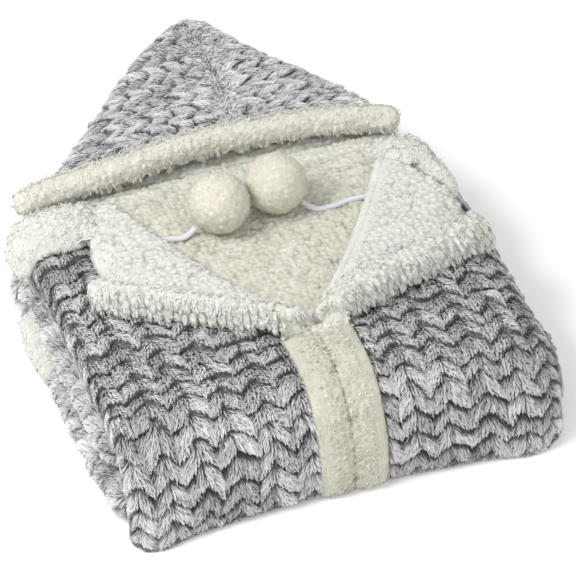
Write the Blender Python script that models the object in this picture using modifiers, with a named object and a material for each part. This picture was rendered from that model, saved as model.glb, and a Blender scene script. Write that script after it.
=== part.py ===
"""Wearable blanket hoodie, folded into a thick rectangular stack with its hood laid out behind.

x runs to the right, y runs back from the front fold, z is up. Sizes are in millimetres until a
mesh is made. Every piece of cloth lies on one of two forms: the folded stack or the laid-out hood.
A place on the stack is (x, s): x counts across, s runs up the front fold and back along the top.
"""

import math

import bmesh
import bpy
import numpy as np
from mathutils import Vector

MM = 0.001
GAP = 0.4
BODY_GAP = 0.7

# The folded stack
TOP = 112.0
STACK_BACK = 405.0
LEFT_EDGE, RIGHT_EDGE = -198.0, 184.0
LEFT_ROLL, RIGHT_ROLL = 22.0, 52.0
FOLD_LENGTH = 150.0
FUR = 10.0
ROLL_CLEAR, NECK_RIGHT_CLEAR = 1.8, 0.55
BODY_LEFT = LEFT_EDGE - 0.3

# The front opening
SPLIT_X = 6.0
BAND_LEFT_X, BAND_RIGHT_X = -28.0, 41.0
BAND_END_Y = 139.0
LAPEL_THICK, LAPEL_BAND_THICK = 13.0, 24.0
LINING_THICK, LINING_TIP_Y = 8.0, 158.0
NECK_LEFT_THICK, NECK_RIGHT_THICK = 18.0, 13.0

# The hood
RIM_RADIUS = 14.0
HOOD_LAYER, HOOD_LINING, MOUTH_GAP = 12.0, 9.0, 7.0
HOOD_DROOP = 12.0
HOOD_GAP = 0.95
HOOD_COLUMNS, HOOD_ROWS = 7, 14
LINING_INSET, UNDER_INSET = 0.09, 0.07
UNDER_DEPTH = 40.0
# How far behind the rim's own radius the fur of the hood starts
RIM_SEAM = -4.6

# The drawcord
CORD_DIAMETER = 5.6
POMPOM_RADIUS, POMPOM_CORE = 31.5, 25.0
POMPOM_CUTS = 3
POMPOM_LUMPS = 0.02
LOCK_PARTING, LOCK_TAPER = 0.5, 1.2

# Rows of corners on the top of the stack, behind the front fold
BACK_ROWS = 8

# Distances up the front fold where every layer that goes round it has a row of corners
FOLD_ROWS = (0.5, 5, 13, 25, 39, 54, 69, 84, 99, 114, 131, 150)

GREY = (0.52, 0.52, 0.54, 1.0)
GREY_UNDER = (0.40, 0.40, 0.42, 1.0)
IVORY = (0.86, 0.85, 0.80, 1.0)
CREAM = (0.90, 0.88, 0.82, 1.0)
WHITE = (0.84, 0.83, 0.86, 1.0)

# Filled by main() before any piece is made
MATERIALS = {}


def clear_scene():
    for old in list(bpy.data.objects):
        bpy.data.objects.remove(old, do_unlink=True)


def material(name, colour, roughness=0.95):
    found = bpy.data.materials.new(name)
    found.use_nodes = True
    shader = found.node_tree.nodes["Principled BSDF"]
    shader.inputs["Base Color"].default_value = colour
    shader.inputs["Roughness"].default_value = roughness
    shader.inputs["Metallic"].default_value = 0.0
    return found


def along(points, t):
    """The place at share t of a polyline, smoothed by a Catmull-Rom curve."""
    count = len(points) - 1
    at = min(max(t, 0.0), 1.0) * count
    i = min(int(at), count - 1)
    f = at - i
    p = [points[min(max(k, 0), count)] for k in (i - 1, i, i + 1, i + 2)]
    return tuple(
        0.5 * (2 * b + (c - a) * f + (2 * a - 5 * b + 4 * c - d) * f**2 + (3 * b - a - 3 * c + d) * f**3)
        for a, b, c, d in zip(*p)
    )


def step(low, high, value):
    """0 below low, 1 above high, smooth between."""
    f = min(max((value - low) / (high - low), 0.0), 1.0)
    return f * f * (3 - 2 * f)


# The form of the stack


def front_line(x):
    """y of the stack's foot: the middle is drawn in a little behind the corners."""
    return 8.0 + 13.0 * max(0.0, 1 - (x / 190.0) ** 2)


def fold_reach(x):
    """How deep the front fold's curve runs; it leans back more at the left corner."""
    return 78.0 + 16.0 * step(-60.0, -200.0, x)


def squareness(x):
    """Power of the front fold's curve: 2 is round, more is squarer."""
    return 2.35 - 0.5 * step(-60.0, -200.0, x)


def tuck(x):
    """How far the foot of the fold turns under, away from the corners."""
    return 5.0 * (1 - step(-150.0, -190.0, x) - step(140.0, 180.0, x))


def swell(x, y):
    """Soft rise of the top, gone at the back where the hood lies across."""
    rise = 3.0 * (1 - (x / 235.0) ** 2) + 1.5 * math.sin(x / 61.0 + 1.0) * math.sin(y / 83.0)
    return rise * (1 - step(160.0, 400.0, y))


def section(x, s):
    """(y, z) of the stack's outer face at distance s up the fold and back."""
    power = 2.0 / squareness(x)
    angle = (1 - min(s / FOLD_LENGTH, 1.0)) * math.pi / 2
    reach = fold_reach(x)
    y = front_line(x) + reach * (1 - math.sin(angle) ** power)
    z = TOP * math.cos(angle) ** power
    y += tuck(x) * (1 - min(z / 14.0, 1.0)) ** 2
    y += max(s - FOLD_LENGTH, 0.0)
    z += swell(x, y) * (max(z, 0.0) / TOP) ** 4
    return y, z


def section_normal(x, s):
    y0, z0 = section(x, max(s - 0.8, 0.0))
    y1, z1 = section(x, s + 0.8)
    length = math.hypot(y1 - y0, z1 - z0)
    return -(z1 - z0) / length, (y1 - y0) / length


def on_stack(x, s, lift=0.0):
    """A point on the stack, lift mm off its outer face. Past a side edge, x runs on round the roll."""
    edge, roll, side = x, 1.0, 0.0
    if x < LEFT_EDGE:
        edge, roll, side = LEFT_EDGE, LEFT_ROLL, -1.0
    if x > RIGHT_EDGE:
        edge, roll, side = RIGHT_EDGE, RIGHT_ROLL, 1.0
    turn = abs(x - edge) / roll
    y, z = section(edge, s)
    ny, nz = section_normal(edge, s)
    in_by = roll - (roll + lift) * math.cos(turn) if side else -lift
    return (edge + side * (roll + lift) * math.sin(turn), y - ny * in_by, z - nz * in_by)


def s_at(x, y):
    """s of the place on top at this y."""
    edge = min(max(x, LEFT_EDGE), RIGHT_EDGE)
    return y - front_line(edge) - fold_reach(edge) + FOLD_LENGTH


def left_of_roll(turn):
    return LEFT_EDGE - LEFT_ROLL * math.radians(turn)


def right_of_roll(turn):
    return RIGHT_EDGE + RIGHT_ROLL * math.radians(turn)


# The form of the hood

# y grows from the rim to the point of the hood
HOOD_LEFT = ((-182, 424), (-158, 464), (-129, 508), (-99, 553), (-70, 596), (-32, 652), (8, 703), (42, 731))
HOOD_SEAM = ((28, 436), (40, 480), (50, 522), (58, 567), (66, 612), (72, 660), (76, 708), (78, 743))
HOOD_RIGHT = ((186, 420), (192, 462), (184, 508), (169, 561), (154, 605), (137, 652), (124, 696), (110, 730))
HOOD_HEIGHT = ((128,), (116,), (102,), (86,), (73,), (58,), (46,), (40,))
RIM_LINE = ((-214, 399), (-180, 408), (-105, 412), (-15, 424), (95, 419), (168, 410), (193, 398))
RIM_CURVE = [along(RIM_LINE, t / 60) for t in range(61)]


def rim_y(x):
    return float(np.interp(x, [p[0] for p in RIM_CURVE], [p[1] for p in RIM_CURVE]))


def on_hood(u, v, lift=0.0):
    """u runs from -1 at the left edge over 0 at the seam to 1 at the right, v from the rim to the point."""
    side = along(HOOD_RIGHT if u > 0 else HOOD_LEFT, v)
    seam = along(HOOD_SEAM, v)
    x = seam[0] + abs(u) * (side[0] - seam[0])
    y = seam[1] + abs(u) * (side[1] - seam[1])
    behind_rim = rim_y(x) + RIM_RADIUS + RIM_SEAM
    straight = HOOD_SEAM[0][1] + abs(u) * (side[1] - HOOD_SEAM[0][1])
    y += (behind_rim - straight) * max(0.0, 1 - v / 0.12) if v < 0.12 else 0.0
    z = along(HOOD_HEIGHT, v)[0] - HOOD_DROOP * abs(u) ** 4
    return (x, y, z + lift)


# Ways of making a piece


def add_object(name, mesh, colour, parts):
    mesh.name = name
    made = bpy.data.objects.new(name, mesh)
    made.data.materials.append(MATERIALS[colour])
    parts.objects.link(made)
    for face in made.data.polygons:
        face.use_smooth = True
    return made


def cloth(name, colour, parts, columns, rows, place, thick, puff=None):
    """A sheet laid out by place(u, v), u and v from 0 to 1, and thickened outwards.

    puff(u, v) gives the share of the full thickness, from 0 to 1."""
    bm = bmesh.new()
    bmesh.ops.create_grid(bm, x_segments=columns, y_segments=rows, size=0.5)
    shares = []
    for vertex in bm.verts:
        u, v = vertex.co.x + 0.5, vertex.co.y + 0.5
        shares.append(puff(u, v) if puff else 1.0)
        vertex.co = Vector(place(u, v)) * MM
    bmesh.ops.recalc_face_normals(bm, faces=bm.faces)
    if sum(face.normal.z * face.calc_area() for face in bm.faces) < 0:
        bmesh.ops.reverse_faces(bm, faces=bm.faces)
    mesh = bpy.data.meshes.new(name)
    bm.to_mesh(mesh)
    bm.free()
    made = add_object(name, mesh, colour, parts)
    full = made.vertex_groups.new(name="full")
    for i, share in enumerate(shares):
        full.add([i], share, "REPLACE")
    shell = made.modifiers.new("thickness", "SOLIDIFY")
    shell.thickness = thick * MM
    shell.offset = 1.0
    shell.use_even_offset = False
    shell.vertex_group = "full"
    shell.thickness_vertex_group = 0.0
    return made


def rounded(u, v, rim=0.35, width=0.12):
    """Share of the thickness that falls to rim along all four edges of a sheet."""
    in_u = min(1.0, min(u, 1 - u) / width)
    in_v = min(1.0, min(v, 1 - v) / width)
    share = math.sqrt(max(0.0, 1 - (1 - in_u) ** 2) * max(0.0, 1 - (1 - in_v) ** 2))
    return rim + (1 - rim) * share


def loft(name, colour, parts, loops):
    """A closed solid through loops of equally many points."""
    bm = bmesh.new()
    rings = [[bm.verts.new(Vector(p) * MM) for p in loop] for loop in loops]
    for a, b in zip(rings, rings[1:]):
        for i in range(len(a)):
            j = (i + 1) % len(a)
            bm.faces.new((a[i], a[j], b[j], b[i]))
    bm.faces.new(reversed(rings[0]))
    bm.faces.new(rings[-1])
    bmesh.ops.recalc_face_normals(bm, faces=bm.faces)
    mesh = bpy.data.meshes.new(name)
    bm.to_mesh(mesh)
    bm.free()
    return add_object(name, mesh, colour, parts)


def tube(name, colour, parts, route, radius, spacing, taper=None):
    """A round tube on a smooth curve through the route's points."""
    length = sum(math.dist(a, b) for a, b in zip(route, route[1:]))
    count = max(4, round(length / spacing))
    curve = bpy.data.curves.new(name, "CURVE")
    curve.dimensions = "3D"
    curve.bevel_depth = radius * MM
    curve.bevel_resolution = 2
    curve.use_fill_caps = True
    spline = curve.splines.new("POLY")
    spline.points.add(count)
    for i, point in enumerate(spline.points):
        x, y, z = along(route, i / count)
        point.co = (x * MM, y * MM, z * MM, 1.0)
        point.radius = taper(i / count) if taper else 1.0
    made = bpy.data.objects.new(name, curve)
    curve.materials.append(MATERIALS[colour])
    parts.objects.link(made)
    return made


# The pieces of the stack

# Where the layers of each side have a column of corners
LEFT_STOPS = (LEFT_EDGE, -175.0, -150.0, -120.0, -90.0, -60.0, BAND_LEFT_X)
RIGHT_STOPS = (BAND_RIGHT_X, 70.0, 100.0, 130.0, 160.0, RIGHT_EDGE)

# How far out each fold of the hidden layers stands at the back, and its z
BACK_BUMPS = (
    (2.0, 96),
    (6.0, 90),
    (6.0, 74),
    (-2.0, 66),
    (5.0, 58),
    (6.0, 42),
    (-2.0, 35),
    (6.0, 26),
    (6.0, 10),
    (1.0, 0),
)


def body_stack(parts):
    """The hidden folded layers, with the fold of each layer standing out at the back."""
    loops = []
    for x in (BODY_LEFT, *LEFT_STOPS, SPLIT_X, *RIGHT_STOPS):
        edge = max(x, LEFT_EDGE)
        top_back = s_at(edge, STACK_BACK - 8.0)
        stations = [*FOLD_ROWS, *np.linspace(FOLD_LENGTH, top_back, BACK_ROWS + 1)[1:]]
        points = [on_stack(edge, s, -FUR - BODY_GAP) for s in stations]
        loop = [(x, points[0][1] + 1.0, 0.0)] + [(x, y, z) for _, y, z in points]
        loop += [(x, STACK_BACK - 6.0 + out, z) for out, z in BACK_BUMPS]
        loops.append(loop)
    return loft("body_stack", "grey_under", parts, loops)


def fold_then_back(x, v, end_y):
    """s of row v: the rows of the fold first, then even steps to end_y on the top."""
    rows = len(FOLD_ROWS) - 1
    share = rows / (rows + BACK_ROWS)
    if v <= share + 1e-6:
        at = v / share * rows
        i = min(int(at + 1e-6), rows - 1)
        return FOLD_ROWS[i] + (FOLD_ROWS[i + 1] - FOLD_ROWS[i]) * (at - i)
    return FOLD_LENGTH + (v - share) / (1 - share) * (s_at(x, end_y) - FOLD_LENGTH)


def neckline_left(x):
    """y where the left front panel ends under its lapel, and behind it at the shoulder."""
    return float(np.interp(x, [-170, -140, BAND_LEFT_X], [392, 345, 155]))


def neckline_right(x):
    return float(np.interp(x, [BAND_RIGHT_X, 160, 190], [155, 345, 392]))


def columns_to_x(u, stops):
    return float(np.interp(u, np.linspace(0, 1, len(stops)), stops))


def front_left(parts):
    stops = [left_of_roll(t) for t in (150, 120, 90, 60, 30)]
    stops += [*LEFT_STOPS[:-1], BAND_LEFT_X - GAP]

    def place(u, v):
        x = columns_to_x(u, stops)
        return on_stack(x, fold_then_back(x, v, neckline_left(x)), -FUR)

    rows = len(FOLD_ROWS) - 1 + BACK_ROWS
    return cloth("front_left", "grey", parts, len(stops) - 1, rows, place, FUR)


def front_right(parts):
    stops = [BAND_RIGHT_X + GAP, *RIGHT_STOPS[1:]]
    stops += [right_of_roll(t) for t in (16, 32, 48, 64, 80, 96)]

    def place(u, v):
        x = columns_to_x(u, stops)
        return on_stack(x, fold_then_back(x, v, neckline_right(x)), -FUR)

    rows = len(FOLD_ROWS) - 1 + BACK_ROWS
    return cloth("front_right", "grey", parts, len(stops) - 1, rows, place, FUR)


def band(name, parts, x0, x1):
    """One sherpa edge of the front opening, from the floor over the fold to its lapel."""

    def place(u, v):
        x = x0 + (x1 - x0) * u
        return on_stack(x, fold_then_back(x, v, BAND_END_Y), -FUR)

    def puff(u, v):
        return 0.8 + 0.2 * math.sin(math.pi * u)

    return cloth(name, "ivory", parts, 4, len(FOLD_ROWS) - 1 + BACK_ROWS, place, FUR + 2.5, puff)


def back_lining(parts):
    """The sherpa inside of the back, seen between the lapels."""

    def place(u, v):
        y = LINING_TIP_Y + (STACK_BACK - LINING_TIP_Y) * v
        x0 = float(np.interp(y, [155, 345, 392], [BAND_LEFT_X, -140, -170])) + 3 * GAP
        x1 = float(np.interp(y, [155, 345, 392], [BAND_RIGHT_X, 160, 190])) - 3 * GAP
        x = x0 + (x1 - x0) * u
        return on_stack(x, s_at(x, y), -FUR)

    return cloth("back_lining", "ivory", parts, 10, 9, place, LINING_THICK)


def quad(edge0, edge1):
    """place(u, v) in plan: u runs along two curved edges, v from the first to the second."""

    def plan(u, v):
        a, b = along(edge0, u), along(edge1, u)
        return a[0] + (b[0] - a[0]) * v, a[1] + (b[1] - a[1]) * v

    return plan


def laid(plan, roll_clear=ROLL_CLEAR):
    """place(u, v) on top of the front panels, a little higher where they turn over at the sides."""

    def place(u, v):
        x, y = plan(u, v)
        turned = step(RIGHT_EDGE - 34.0, RIGHT_EDGE, x) + step(LEFT_EDGE + 30.0, LEFT_EDGE, x)
        return on_stack(x, s_at(x, y), GAP + roll_clear * turned)

    return place


# Plan outlines on top of the stack. Each piece lies between a first and a second edge.
BAND_TURN_LEFT = ((-28, 140), (-77, 171), (-136, 205), (-186, 238))
BAND_TURN_LEFT_IN = ((5.4, 141), (-62, 186), (-122, 226), (-181, 268))
BAND_TURN_RIGHT = ((41, 140), (104, 161), (158, 178), (219, 202))
BAND_TURN_RIGHT_IN = ((6.6, 141), (70, 181), (142, 208), (210, 240))
LAPEL_LEFT_FOLD = ((-12, 159), (-46, 205), (-92, 300), (-122, 376))
LAPEL_LEFT_OUT = ((-16, 157.5), (-70, 193), (-165, 270), (-143, 376))
LAPEL_RIGHT_FOLD = ((24, 159), (80, 233), (126, 303), (152, 350))
LAPEL_RIGHT_OUT = ((26, 160.5), (98, 201), (203, 256), (160, 352))
NECK_LEFT = ((-140, 390), (-165, 390), (left_of_roll(20), 388), (left_of_roll(120), 384))
NECK_LEFT_FRONT = ((-159, 335), (-175, 329), (left_of_roll(20), 331), (left_of_roll(120), 333))
NECK_RIGHT = ((163, 384), (170, 358), (190, 322), (207, 280))
NECK_RIGHT_OUT = ((206, 380), (210, 352), (214, 320), (217, 288))


def lapel_band(name, parts, outer, inner):
    """The front band carried on along the turned-back corner, as a thick soft roll."""

    def puff(u, v):
        ends = min(1.0, (1 - u) / 0.07)
        return 0.22 + 0.78 * math.sqrt(max(0.0, 1 - (2 * v - 1) ** 2)) * (0.35 + 0.65 * ends)

    return cloth(name, "ivory", parts, 12, 6, laid(quad(outer, inner)), LAPEL_BAND_THICK, puff)


def lapel(name, parts, fold, outer):
    """A front corner turned back, sherpa side up."""

    def puff(u, v):
        return 0.55 + 0.45 * rounded(u, v, 0.3, 0.2)

    return cloth(name, "ivory", parts, 9, 6, laid(quad(fold, outer)), LAPEL_THICK, puff)


def neck_roll(name, parts, back, front, thick, roll_clear):
    def puff(u, v):
        return rounded(u, v, 0.25, 0.35)

    return cloth(name, "ivory", parts, 8, 5, laid(quad(back, front), roll_clear), thick, puff)


def side_roll(name, colour, parts, side, rows):
    """A fold of an inner layer that shows at a side. rows: y, low z, high z, reach."""
    flat = BODY_LEFT - GAP if side < 0 else RIGHT_EDGE + GAP
    loops = []
    for y, low, high, reach in rows:
        middle, half = (low + high) / 2, (high - low) / 2
        loop = [(flat, y, low)]
        for k in range(1, 8):
            turn = math.pi * (k / 8 - 0.5)
            grow = math.cos(turn) ** 0.7
            loop.append((flat + side * reach * grow, y, middle + half * math.sin(turn)))
        loop.append((flat, y, high))
        loops.append(loop)
    return loft(name, colour, parts, loops)


# y, low z, high z, reach out from the stack
SLEEVE_LEFT = ((52, 0, 26, 18), (64, 0, 34, 29), (110, 0, 38, 35), (180, 0, 38, 36), (254.6, 0, 38, 36))
CUFF_LEFT = ((255, 0, 40, 35), (285, 0, 42, 38), (315, 0, 42, 38), (344.6, 0, 40, 34))
SIDE_LEFT = (
    (86, 40, 58, 16),
    (100, 38.6, 65, 27),
    (170, 38.6, 67, 31),
    (250, 42.8, 67, 31),
    (344.6, 42.8, 67, 30),
)
HEM_LEFT = ((345, 0, 66, 30), (370, 0, 67, 33), (392, 0, 66, 31), (400, 0, 62, 24))
SLEEVE_RIGHT = (
    (26, 0, 38, 11),
    (36, 0, 40, 24),
    (48, 0, 42, 32),
    (64, 0, 44, 37),
    (78, 0, 46, 39),
    (88, 0, 49, 45),
    (100, 0, 50, 48),
    (200, 0, 51, 50),
    (320, 0, 51, 49),
    (388, 0, 50, 42),
    (400, 0, 44, 30),
)


# The pieces of the hood


def hood_half(name, parts, side):
    def place(u, v):
        return on_hood(side * (0.004 + 0.996 * u), v, -HOOD_LAYER)

    def puff(u, v):
        near_edge = max(0.0, (u - 0.82) / 0.18)
        near_point = min(1.0, (1 - v) / 0.05 + 0.3)
        return 0.35 + 0.65 * math.sqrt(max(0.0, 1 - near_edge**2)) * near_point

    return cloth(name, "grey", parts, HOOD_COLUMNS, HOOD_ROWS, place, HOOD_LAYER, puff)


def hood_inner(name, colour, parts, top_lift, bottom_lift, inset):
    """A lower layer of the hood, closed all round; it lies flat where it reaches the floor."""
    loops = []
    inner = [k / HOOD_COLUMNS for k in range(HOOD_COLUMNS)]
    across = [-1 + inset] + [-u for u in reversed(inner[1:])] + inner + [1 - inset]
    for i in range(HOOD_ROWS):
        v = i / HOOD_ROWS
        mouth = MOUTH_GAP * max(0.0, 1 - v / 0.16) ** 2
        loop = []
        for u in across:
            loop.append(on_hood(u, v, top_lift - mouth))
        for u in reversed(across):
            loop.append(on_hood(u, v, bottom_lift - mouth))
        pull = max(0.0, 1 - v * HOOD_ROWS)
        loops.append([(x, y + (STACK_BACK + GAP - y) * pull, max(z, 0.0)) for x, y, z in loop])
    return loft(name, colour, parts, loops)


def hood_rim(parts):
    """The thick sherpa edge of the hood's mouth, lying across the back of the stack."""
    low, high = TOP + RIM_RADIUS + 0.8, TOP + RIM_RADIUS + 6.5
    heights = (low - 2.0, low, high, high, high, low, low - 2.0)
    route = [(x, y, z) for (x, y), z in zip(RIM_LINE, heights)]

    def taper(t):
        return 0.55 + 0.45 * min(1.0, t / 0.06, (1 - t) / 0.06)

    return tube("hood_rim", "ivory", parts, route, RIM_RADIUS, 22.0, taper)


# The drawcord

POMPOM_Z = TOP + POMPOM_RADIUS - 1.9
POMPOM_LEFT = (-28.5, 317.0, POMPOM_Z)
POMPOM_RIGHT = (34.6, 327.0, POMPOM_Z)
CORD_Z = TOP + CORD_DIAMETER / 2 - 0.6
CORD_LEFT = (
    (-94.5, 312, CORD_Z + 1.5),
    (-82, 312, CORD_Z),
    (-68, 309, CORD_Z + 0.5),
    (-55.4, 312, CORD_Z + 6.5),
)
CORD_RIGHT = (
    (125.5, 306, CORD_Z + 1.5),
    (106, 308, CORD_Z),
    (88, 305, CORD_Z),
    (70, 306, CORD_Z + 0.5),
    (58.6, 313.4, CORD_Z + 6.5),
)


def pompom(name, parts, centre):
    """A ball of cut yarn: a core with one lock of yarn standing on each of its faces."""
    bm = bmesh.new()
    bmesh.ops.create_cube(bm, size=1.0)
    bmesh.ops.subdivide_edges(bm, edges=bm.edges, cuts=POMPOM_CUTS, use_grid_fill=True)
    for vertex in bm.verts:
        vertex.co = vertex.co.normalized() * POMPOM_CORE * MM
    locks = list(bm.faces)
    bmesh.ops.inset_individual(bm, faces=locks, thickness=LOCK_PARTING * MM)
    bmesh.ops.inset_individual(bm, faces=locks, thickness=LOCK_TAPER * MM)
    for lock in locks:
        way = lock.calc_center_median().normalized()
        lumps = math.sin(5 * way.x + 1.3) * math.sin(4 * way.y - 0.6) * math.sin(5 * way.z + 0.4)
        reach = POMPOM_RADIUS * (1 - POMPOM_LUMPS + POMPOM_LUMPS * lumps)
        for vertex in lock.verts:
            vertex.co = vertex.co.normalized() * reach * MM
    mesh = bpy.data.meshes.new(name)
    bm.to_mesh(mesh)
    bm.free()
    made = add_object(name, mesh, "cream", parts)
    made.location = Vector(centre) * MM
    return made


def stand_on_origin(parts, left_out):
    """Moves every piece so that the origin is under the middle of the garment, at the floor."""
    bpy.context.view_layer.update()
    graph = bpy.context.evaluated_depsgraph_get()
    corners = []
    for made in parts.objects:
        if made.name not in left_out:
            shown = made.evaluated_get(graph)
            mesh = shown.to_mesh()
            corners += [made.matrix_world @ vertex.co for vertex in mesh.vertices]
            shown.to_mesh_clear()
    corners = np.array(corners)
    low, high = corners.min(0), corners.max(0)
    middle = Vector(((low[0] + high[0]) / 2, (low[1] + high[1]) / 2, low[2]))
    for made in parts.objects:
        made.location -= middle


def main():
    clear_scene()
    parts = bpy.data.collections.new("wearable_blanket_hoodie")
    bpy.context.scene.collection.children.link(parts)
    MATERIALS["grey"] = material("grey_plush", GREY)
    MATERIALS["grey_under"] = material("grey_plush_inner", GREY_UNDER)
    MATERIALS["ivory"] = material("ivory_sherpa", IVORY)
    MATERIALS["cream"] = material("cream_yarn", CREAM)
    MATERIALS["white"] = material("white_cord", WHITE, 0.7)

    body_stack(parts)
    front_left(parts)
    front_right(parts)
    band("band_left", parts, BAND_LEFT_X, SPLIT_X - GAP / 2)
    band("band_right", parts, SPLIT_X + GAP / 2, BAND_RIGHT_X)
    back_lining(parts)
    lapel_band("lapel_band_left", parts, BAND_TURN_LEFT, BAND_TURN_LEFT_IN)
    lapel_band("lapel_band_right", parts, BAND_TURN_RIGHT, BAND_TURN_RIGHT_IN)
    lapel("lapel_left", parts, LAPEL_LEFT_FOLD, LAPEL_LEFT_OUT)
    lapel("lapel_right", parts, LAPEL_RIGHT_FOLD, LAPEL_RIGHT_OUT)
    neck_roll("neck_left", parts, NECK_LEFT, NECK_LEFT_FRONT, NECK_LEFT_THICK, ROLL_CLEAR)
    neck_roll("neck_right", parts, NECK_RIGHT, NECK_RIGHT_OUT, NECK_RIGHT_THICK, NECK_RIGHT_CLEAR)
    side_roll("sleeve_left", "grey", parts, -1, SLEEVE_LEFT)
    side_roll("cuff_left", "ivory", parts, -1, CUFF_LEFT)
    side_roll("side_left", "grey", parts, -1, SIDE_LEFT)
    side_roll("hem_left", "grey", parts, -1, HEM_LEFT)
    side_roll("sleeve_right", "grey", parts, 1, SLEEVE_RIGHT)
    hood_half("hood_left", parts, -1)
    hood_half("hood_right", parts, 1)
    under_lining = -HOOD_LAYER - HOOD_LINING
    hood_inner("hood_lining", "ivory", parts, -HOOD_LAYER - HOOD_GAP, under_lining, LINING_INSET)
    hood_inner("hood_under", "grey", parts, under_lining - HOOD_GAP, -UNDER_DEPTH, UNDER_INSET)
    hood_rim(parts)
    tube("drawcord_left", "white", parts, CORD_LEFT, CORD_DIAMETER / 2, 6.0)
    tube("drawcord_right", "white", parts, CORD_RIGHT, CORD_DIAMETER / 2, 8.0)
    pompom("pompom_left", parts, POMPOM_LEFT)
    pompom("pompom_right", parts, POMPOM_RIGHT)
    stand_on_origin(parts, ("drawcord_left", "drawcord_right", "pompom_left", "pompom_right"))


main()
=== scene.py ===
"""Looks of the folded blanket hoodie: combed plush, curly sherpa, yarn pompoms and a smooth cord.

Places are in millimetres in the stack's own frame, as in the model: x runs to the right, y back from
the front fold, z up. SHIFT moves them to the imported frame. A place on a form is (p, q, lift): p and q
in millimetres along the cloth, lift off the pile's outer face.
"""

import math

import bmesh
import bpy
import numpy as np
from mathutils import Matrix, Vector
from mathutils.bvhtree import BVHTree


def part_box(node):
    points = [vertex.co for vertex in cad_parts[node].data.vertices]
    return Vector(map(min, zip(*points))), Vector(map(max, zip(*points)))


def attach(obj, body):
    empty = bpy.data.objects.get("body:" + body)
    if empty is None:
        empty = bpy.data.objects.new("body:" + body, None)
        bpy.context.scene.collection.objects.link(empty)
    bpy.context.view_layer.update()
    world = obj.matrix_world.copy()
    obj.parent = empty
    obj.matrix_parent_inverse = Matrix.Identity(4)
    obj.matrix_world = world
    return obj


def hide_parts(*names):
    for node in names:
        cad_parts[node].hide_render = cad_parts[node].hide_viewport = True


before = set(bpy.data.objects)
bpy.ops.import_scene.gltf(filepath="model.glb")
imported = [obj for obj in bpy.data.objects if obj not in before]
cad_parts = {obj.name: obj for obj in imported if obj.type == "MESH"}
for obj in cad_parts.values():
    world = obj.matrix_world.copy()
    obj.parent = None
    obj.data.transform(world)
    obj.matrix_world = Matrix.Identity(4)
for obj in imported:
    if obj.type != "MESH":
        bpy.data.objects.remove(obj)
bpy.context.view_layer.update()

MM = 0.001

# The folded stack, as in the model
TOP = 112.0
LEFT_EDGE, RIGHT_EDGE = -198.0, 184.0
LEFT_ROLL, RIGHT_ROLL = 22.0, 52.0
FOLD_LENGTH = 150.0
FUR = 10.0
BAND_LEFT_X, BAND_RIGHT_X = -28.0, 41.0
SLEEVE_FLAT_X, SLEEVE_FRONT_Y = -198.7, 52.0

# The hood, as in the model
RIM_RADIUS, RIM_SEAM, HOOD_DROOP = 14.0, -4.6, 12.0
HOOD_LEFT = ((-182, 424), (-158, 464), (-129, 508), (-99, 553), (-70, 596), (-32, 652), (8, 703), (42, 731))
HOOD_SEAM = ((28, 436), (40, 480), (50, 522), (58, 567), (66, 612), (72, 660), (76, 708), (78, 743))
HOOD_RIGHT = ((186, 420), (192, 462), (184, 508), (169, 561), (154, 605), (137, 652), (124, 696), (110, 730))
HOOD_HEIGHT = ((128,), (116,), (102,), (86,), (73,), (58,), (46,), (40,))
HOOD_PAST = 22.0
RIM_LINE = ((-214, 399), (-180, 408), (-105, 412), (-15, 424), (95, 419), (168, 410), (193, 398))
HOOD_LENGTH = 325.0

# The drawcord, as in the model
CORD_DIAMETER = 5.6
POMPOM_RADIUS = 31.5
CORD_Z = TOP + CORD_DIAMETER / 2 - 0.6
CORD_LEFT = (
    (-94.5, 312, CORD_Z + 1.5),
    (-82, 312, CORD_Z),
    (-68, 309, CORD_Z + 0.5),
    (-55.4, 312, CORD_Z + 6.5),
)
CORD_RIGHT = (
    (125.5, 306, CORD_Z + 1.5),
    (106, 308, CORD_Z),
    (88, 305, CORD_Z),
    (70, 306, CORD_Z + 0.5),
    (58.6, 313.4, CORD_Z + 6.5),
)

sleeve_low, sleeve_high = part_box("sleeve_left")
SHIFT = np.array((sleeve_high.x / MM - SLEEVE_FLAT_X, sleeve_low.y / MM - SLEEVE_FRONT_Y, sleeve_low.z / MM))


# Shares, waves and chance that are the same in every run


def step(low, high, value):
    """0 below low, 1 above high, smooth between."""
    f = np.clip((value - low) / (high - low), 0.0, 1.0)
    return f * f * (3 - 2 * f)


def along(points, t):
    """Places at shares t of a polyline, smoothed by a Catmull-Rom curve, one row for each t."""
    points = np.asarray(points, float)
    count = len(points) - 1
    at = np.clip(np.asarray(t, float), 0.0, 1.0) * count
    i = np.minimum(at.astype(int), count - 1)
    f = (at - i)[:, None]
    a, b, c, d = (points[np.clip(i + k, 0, count)] for k in (-1, 0, 1, 2))
    return 0.5 * (2 * b + (c - a) * f + (2 * a - 5 * b + 4 * c - d) * f**2 + (3 * b - a - 3 * c + d) * f**3)


def unit(vectors):
    return vectors / np.maximum(np.linalg.norm(vectors, axis=1, keepdims=True), 1e-9)


MIX_KEYS, MIX_SIZE = (12.9898, 78.233, 37.719, 57.131), 43758.5453


def chance(*keys):
    """A share from 0 to 1 that looks random but is the same for the same keys."""
    mixed = sum(np.asarray(key, float) * weight for key, weight in zip(keys, MIX_KEYS))
    return np.mod(np.sin(mixed) * MIX_SIZE, 1.0)


def even(value):
    """A function of places that gives the same value everywhere."""
    return lambda at, facing=None: np.full(len(at), value)


def wave(p, q, size, seed):
    """Smooth uneven ground between -1 and 1 with hills about size mm across."""
    total = 0.0
    for k in range(4):
        turn = seed * 1.7 + k * 2.4
        reach = size * (0.8 + 0.35 * k)
        across = p * math.cos(turn) + q * math.sin(turn)
        total = total + np.sin(across * 2 * math.pi / reach + seed + k * 1.9)
    return total / 4


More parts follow.
